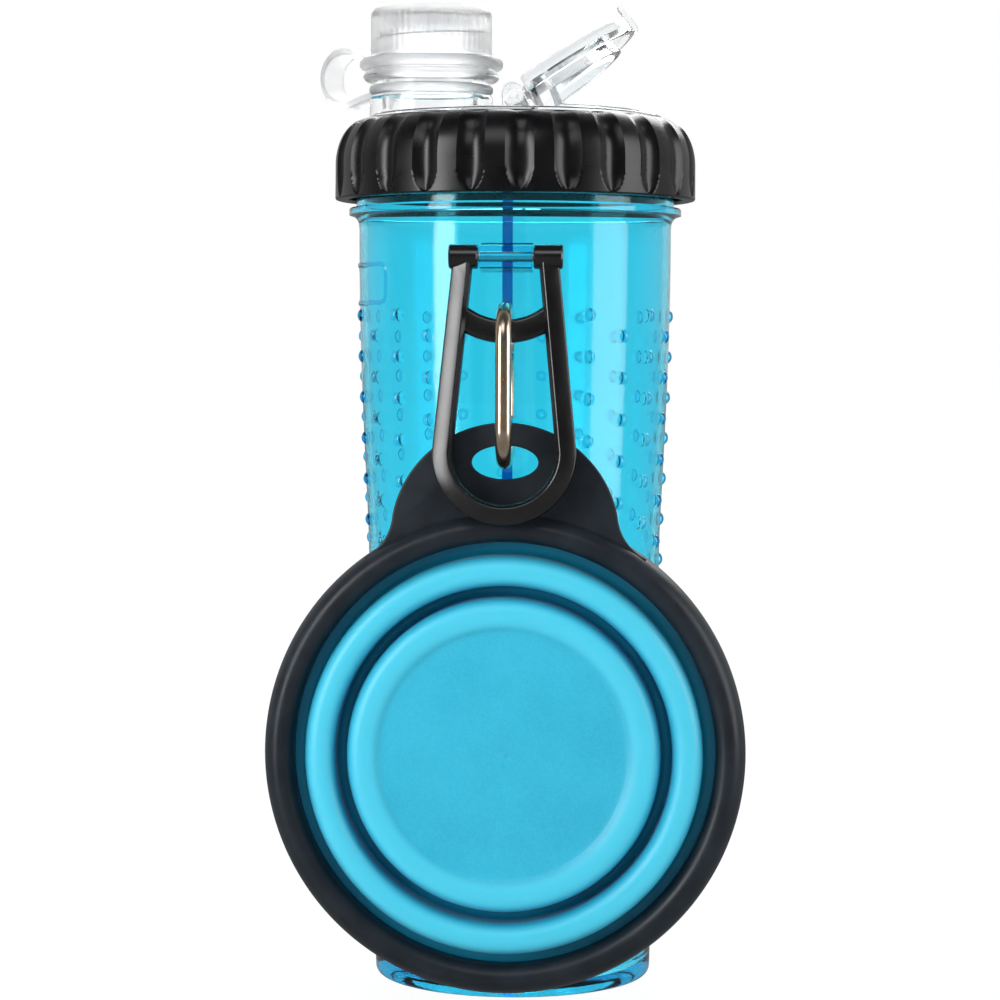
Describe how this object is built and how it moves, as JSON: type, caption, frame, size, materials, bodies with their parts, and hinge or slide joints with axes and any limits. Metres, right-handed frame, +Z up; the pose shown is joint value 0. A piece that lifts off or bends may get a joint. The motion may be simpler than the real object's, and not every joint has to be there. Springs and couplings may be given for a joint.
{
  "type": "dog travel water bottle",
  "caption": "Two-chamber travel bottle with a screw collar, capped spout and flip door, and a handle whose spring clip carries a collapsible cup.",
  "frame": {"origin": "centre of the tumbler's foot, on the surface that it stands on", "axes": "+Z up along the tumbler, -Y towards the handle and the cup, -X towards the spout, +X towards the flip door"},
  "size_m": [0.12, 0.1088, 0.2557],
  "materials": {
    "tinted_clear_blue": "clear cyan moulded plastic, polished",
    "white_seal": "soft pale silicone",
    "black_moulding": "black satin moulding",
    "clear_moulding": "clear moulded plastic, polished",
    "frosted_cap": "frosted translucent white moulding",
    "black_handle": "black half-gloss moulding",
    "steel_pin": "plain steel pin",
    "nickel_wire": "nickel-plated steel wire",
    "black_rim": "black satin moulding with a fine grain",
    "blue_soft_wall": "bright blue soft thermoplastic rubber, satin"
  },
  "bodies": {
    "bottle": {"bottle_shell": "tinted_clear_blue", "divider_wall": "tinted_clear_blue"},
    "lid": {"lid_plate": "clear_moulding", "chamber_gasket": "white_seal", "door_hinge_pin": "steel_pin", "tether_base_ring": "frosted_cap", "tether_strap": "frosted_cap"},
    "collar": {"collar_ring": "black_moulding"},
    "tether_end": {"tether_top_ring": "frosted_cap"},
    "cap": {"spout_cap": "frosted_cap", "cap_liner": "white_seal"},
    "door": {"flip_door": "clear_moulding", "door_seal": "white_seal"},
    "handle_loop": {"handle": "black_handle", "handle_pin": "steel_pin"},
    "clip": {"clip_frame": "nickel_wire", "gate_rivet": "nickel_wire"},
    "gate": {"clip_gate": "nickel_wire"},
    "cup": {"cup_rim": "black_rim", "cup_outer_wall": "blue_soft_wall", "cup_middle_wall": "blue_soft_wall"},
    "cup_bottom": {"cup_base": "blue_soft_wall"}
  },
  "joints": [
    {"name": "lid_lift", "type": "slide", "parent": "bottle", "child": "lid", "axis": [0, 0, 1], "range_m": [0, 0.0081]},
    {"name": "collar_turn", "type": "hinge", "parent": "lid", "child": "collar", "pos_m": [0, 0, 0.214], "axis": [0, 0, 1], "range_deg": [0, 360]},
    {"name": "cap_lift", "type": "slide", "parent": "lid", "child": "tether_end", "axis": [0, 0, 1], "range_m": [0, 0.0061], "deforming": ["tether_strap"]},
    {"name": "cap_turn", "type": "hinge", "parent": "tether_end", "child": "cap", "pos_m": [-0.0224, 0, 0.248], "axis": [0, 0, 1], "range_deg": [0, 540]},
    {"name": "door_flip", "type": "hinge", "parent": "lid", "child": "door", "pos_m": [0, 0, 0.231], "axis": [0, -1, 0], "range_deg": [-35, 63]},
    {"name": "handle_pivot", "type": "hinge", "parent": "bottle", "child": "handle_loop", "pos_m": [0, -0.048, 0.1875], "axis": [-1, 0, 0], "range_deg": [0, 125]},
    {"name": "clip_hang", "type": "hinge", "parent": "handle_loop", "child": "clip", "pos_m": [0, -0.05029, 0.16884], "axis": [-1, 0, 0], "range_deg": [-126, 1]},
    {"name": "gate_open", "type": "hinge", "parent": "clip", "child": "gate", "pos_m": [0, -0.04319, 0.14811], "axis": [1, 0, 0], "range_deg": [0, 18], "stiffness_Nm_per_rad": 0.02, "springref_deg": -17.19},
    {"name": "cup_swing", "type": "hinge", "parent": "clip", "child": "cup", "pos_m": [0, -0.0485, 0.1372], "axis": [0, -1, 0], "range_deg": [-30, 30]},
    {"name": "cup_pop", "type": "slide", "parent": "cup", "child": "cup_bottom", "axis": [0, -1, 0], "range_m": [0, 0.021], "deforming": ["cup_middle_wall"]}
  ],
  "couplings": [
    {"joint": "lid_lift", "follows": "collar_turn", "m_per_rad": 0.0012732},
    {"joint": "cap_lift", "follows": "cap_turn", "m_per_rad": 0.00063662},
    {"joint": "clip_hang", "follows": "handle_pivot", "ratio": -1}
  ]
}
